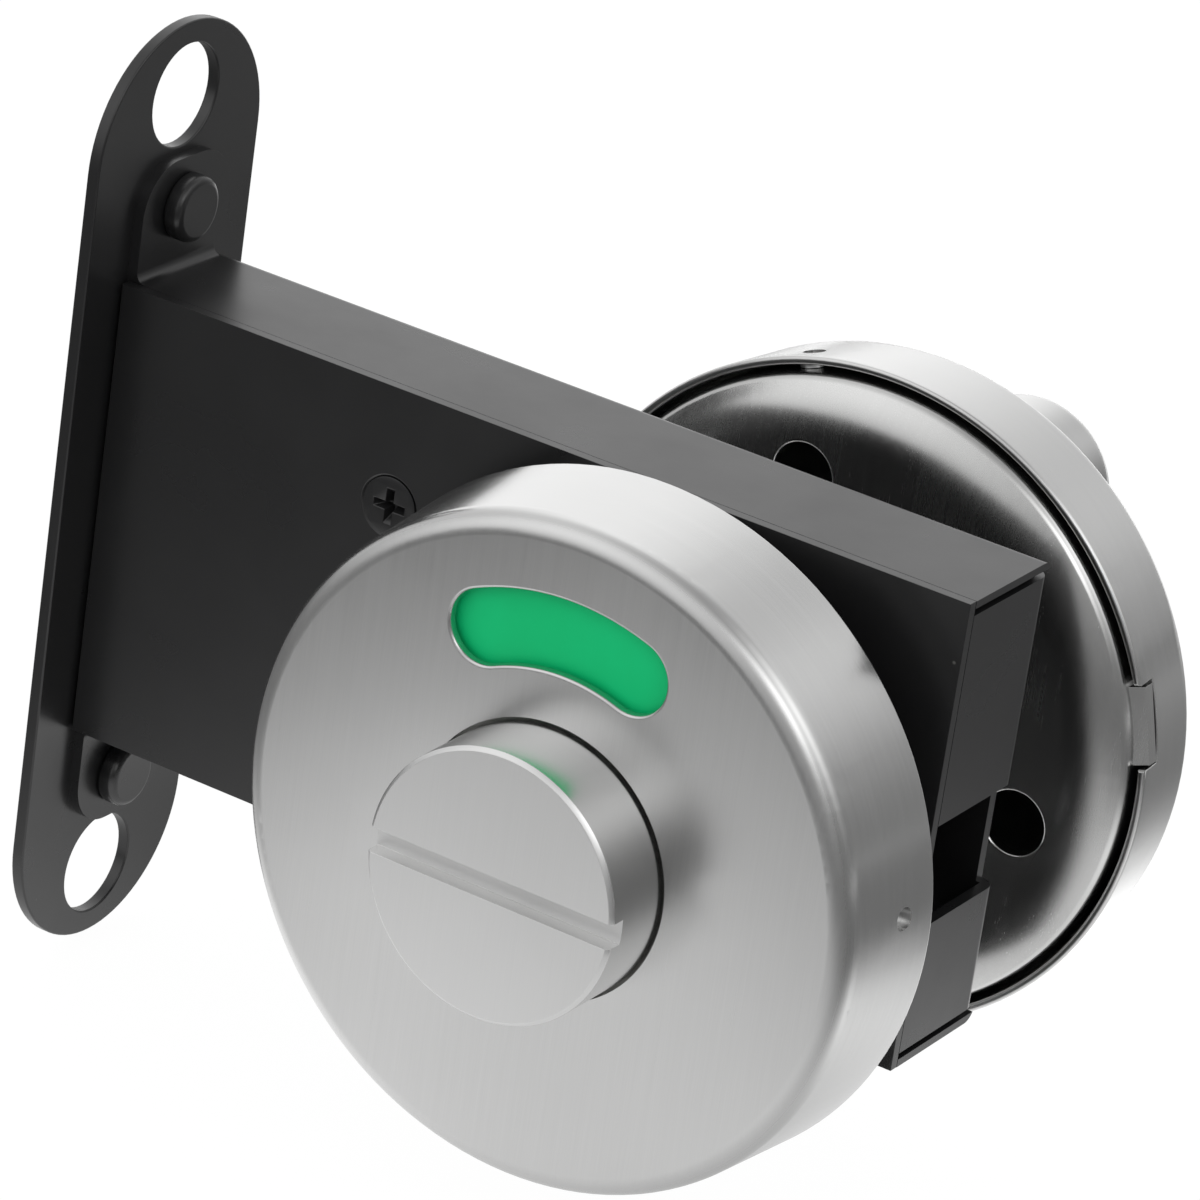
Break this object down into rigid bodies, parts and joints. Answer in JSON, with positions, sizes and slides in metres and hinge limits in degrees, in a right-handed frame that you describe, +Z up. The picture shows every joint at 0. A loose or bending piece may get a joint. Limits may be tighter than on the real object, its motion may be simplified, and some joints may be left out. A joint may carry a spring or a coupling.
{
  "type": "toilet indicator bolt",
  "caption": "Mortice bolt for a toilet door, with a coin-slot button and a coloured indicator window outside and a thumb turn inside.",
  "frame": {"origin": "on the outer face of the forend, midway between its two screw holes", "axes": "+X from the forend into the door, -Y towards the outside of the room, +Z up"},
  "size_m": [0.09, 0.0861, 0.0866],
  "materials": {
    "black_paint": "satin black paint on sheet steel",
    "rose_steel": "brushed stainless steel",
    "base_plate_steel": "bright pressed stainless steel",
    "zinc_steel": "zinc plated steel",
    "spring_steel": "blued spring steel",
    "clip_steel": "black phosphated spring steel",
    "follower_steel": "sintered steel, yellow passivated",
    "bolt_steel": "nickel plated steel",
    "bush_plastic": "acetal, natural",
    "disc_plastic": "moulded plastic",
    "vacant_green": "green printed film",
    "engaged_red": "red printed film"
  },
  "bodies": {
    "case": {"forend_plate": "black_paint", "case_body": "black_paint", "case_cover": "black_paint", "cover_screws": "black_paint", "cover_pillars": "zinc_steel", "forend_rivets": "black_paint", "guide_stump": "zinc_steel", "detent_spring": "spring_steel", "outside_shell": "rose_steel", "outside_base_plate": "base_plate_steel", "outside_bush": "bush_plastic", "inside_shell": "rose_steel", "inside_base_plate": "base_plate_steel", "inside_bush": "bush_plastic"},
    "turn": {"follower": "follower_steel", "spindle": "zinc_steel", "coin_button": "rose_steel", "indicator_disc": "disc_plastic", "vacant_field": "vacant_green", "engaged_field": "engaged_red", "outside_circlip": "clip_steel", "inside_circlip": "clip_steel", "thumb_turn": "rose_steel"},
    "bolt": {"deadbolt": "bolt_steel"}
  },
  "joints": [
    {"name": "spindle_turn", "type": "hinge", "parent": "case", "child": "turn", "pos_m": [0.06, 0, -0.0056], "axis": [0, -1, 0], "range_deg": [0, 90], "deforming": ["detent_spring"]},
    {"name": "bolt_slide", "type": "slide", "parent": "case", "child": "bolt", "axis": [-1, 0, 0], "range_m": [0, 0.0127]}
  ],
  "couplings": [
    {"joint": "bolt_slide", "follows": "spindle_turn", "m_per_rad": 0.0080856}
  ]
}
